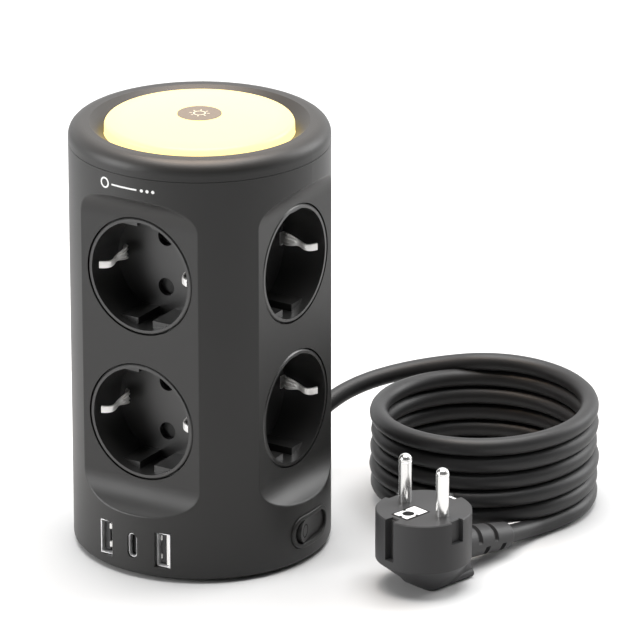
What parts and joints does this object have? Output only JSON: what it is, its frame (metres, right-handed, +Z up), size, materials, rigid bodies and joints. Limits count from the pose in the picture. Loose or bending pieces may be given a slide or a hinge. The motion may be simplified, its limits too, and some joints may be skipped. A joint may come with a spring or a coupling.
{
  "type": "power strip tower",
  "caption": "Round upright power strip with socket wells on four flat sides, USB ports, rocker switch, domed lamp on top and a coiled mains lead with plug.",
  "frame": {"origin": "middle of the tower's footprint, on the surface that its feet stand on", "axes": "+Z up along the tower's axis, -Y out of the face with the USB ports, +X out of the face with the switch"},
  "size_m": [0.1621, 0.1729, 0.1639],
  "materials": {
    "body_black": "satin black moulded plastic",
    "well_black": "matte black moulded plastic",
    "lens_cream": "glowing pale yellow diffuser",
    "touch_grey": "satin grey-beige disc",
    "board_green": "green circuit board",
    "chip_yellow": "light chips",
    "rubber_black": "matte black rubber",
    "cord_black": "satin black flexible sheath",
    "screw_steel": "zinc plated",
    "contact_steel": "bright nickel plated",
    "contact_brass": "bare brass",
    "core_white": "white insulating plastic",
    "shutter_black": "black plastic",
    "port_steel": "plated sheet",
    "tongue_dark": "black plastic",
    "pin_nickel": "polished nickel",
    "wire_blue": "coloured insulation"
  },
  "bodies": {
    "tower": {"housing_shell": "body_black", "top_ring": "body_black", "lamp_lens": "lens_cream", "touch_pad": "touch_grey", "led_board": "board_green", "led_chips": "chip_yellow", "base_plate": "body_black", "rubber_feet": "rubber_black", "base_screws": "screw_steel", "socket_well_1": "well_black", "earth_clip_1": "contact_steel", "socket_well_2": "well_black", "earth_clip_2": "contact_steel", "socket_well_3": "well_black", "earth_clip_3": "contact_steel", "socket_well_4": "well_black", "earth_clip_4": "contact_steel", "socket_well_5": "well_black", "earth_clip_5": "contact_steel", "socket_well_6": "well_black", "earth_clip_6": "contact_steel", "socket_well_7": "well_black", "earth_clip_7": "contact_steel", "socket_well_8": "well_black", "earth_clip_8": "contact_steel", "shutter_springs": "contact_steel", "contact_core": "core_white", "live_bus": "contact_brass", "neutral_bus": "contact_brass", "earth_bus": "contact_brass", "usb_board": "board_green", "usb_a_shell_left": "port_steel", "usb_a_shell_right": "port_steel", "usb_c_shell": "port_steel", "usb_a_tongues": "tongue_dark", "usb_c_tongue": "tongue_dark", "switch_case": "body_black", "switch_pin": "screw_steel", "cord_gland": "rubber_black", "cord_lead": "cord_black", "cord_coil": "cord_black", "cord_tail": "cord_black", "plug_body": "cord_black", "plug_pins": "pin_nickel", "plug_earth_clips": "contact_steel", "plug_earth_socket": "contact_steel", "plug_boot": "cord_black", "mains_wires": "wire_blue"},
    "rocker": {"switch_rocker": "body_black"},
    "shutter_1": {"shutter_1": "shutter_black"},
    "shutter_2": {"shutter_2": "shutter_black"},
    "shutter_3": {"shutter_3": "shutter_black"},
    "shutter_4": {"shutter_4": "shutter_black"},
    "shutter_5": {"shutter_5": "shutter_black"},
    "shutter_6": {"shutter_6": "shutter_black"},
    "shutter_7": {"shutter_7": "shutter_black"},
    "shutter_8": {"shutter_8": "shutter_black"}
  },
  "joints": [
    {"name": "rocker_press", "type": "hinge", "parent": "tower", "child": "rocker", "pos_m": [0.042, 0, 0.0129], "axis": [0, 0, 1], "range_deg": [-14, 0]},
    {"name": "shutter_1_slide", "type": "slide", "parent": "tower", "child": "shutter_1", "axis": [1, 0, 0], "range_m": [0, 0.0068], "stiffness_N_per_m": 40, "springref_m": -0.003, "deforming": ["shutter_springs"]},
    {"name": "shutter_2_slide", "type": "slide", "parent": "tower", "child": "shutter_2", "axis": [0, 1, 0], "range_m": [0, 0.0068], "stiffness_N_per_m": 40, "springref_m": -0.003, "deforming": ["shutter_springs"]},
    {"name": "shutter_3_slide", "type": "slide", "parent": "tower", "child": "shutter_3", "axis": [-1, 0, 0], "range_m": [0, 0.0068], "stiffness_N_per_m": 40, "springref_m": -0.003, "deforming": ["shutter_springs"]},
    {"name": "shutter_4_slide", "type": "slide", "parent": "tower", "child": "shutter_4", "axis": [0, -1, 0], "range_m": [0, 0.0068], "stiffness_N_per_m": 40, "springref_m": -0.003, "deforming": ["shutter_springs"]},
    {"name": "shutter_5_slide", "type": "slide", "parent": "tower", "child": "shutter_5", "axis": [1, 0, 0], "range_m": [0, 0.0068], "stiffness_N_per_m": 40, "springref_m": -0.003, "deforming": ["shutter_springs"]},
    {"name": "shutter_6_slide", "type": "slide", "parent": "tower", "child": "shutter_6", "axis": [0, 1, 0], "range_m": [0, 0.0068], "stiffness_N_per_m": 40, "springref_m": -0.003, "deforming": ["shutter_springs"]},
    {"name": "shutter_7_slide", "type": "slide", "parent": "tower", "child": "shutter_7", "axis": [-1, 0, 0], "range_m": [0, 0.0068], "stiffness_N_per_m": 40, "springref_m": -0.003, "deforming": ["shutter_springs"]},
    {"name": "shutter_8_slide", "type": "slide", "parent": "tower", "child": "shutter_8", "axis": [0, -1, 0], "range_m": [0, 0.0068], "stiffness_N_per_m": 40, "springref_m": -0.003, "deforming": ["shutter_springs"]}
  ]
}
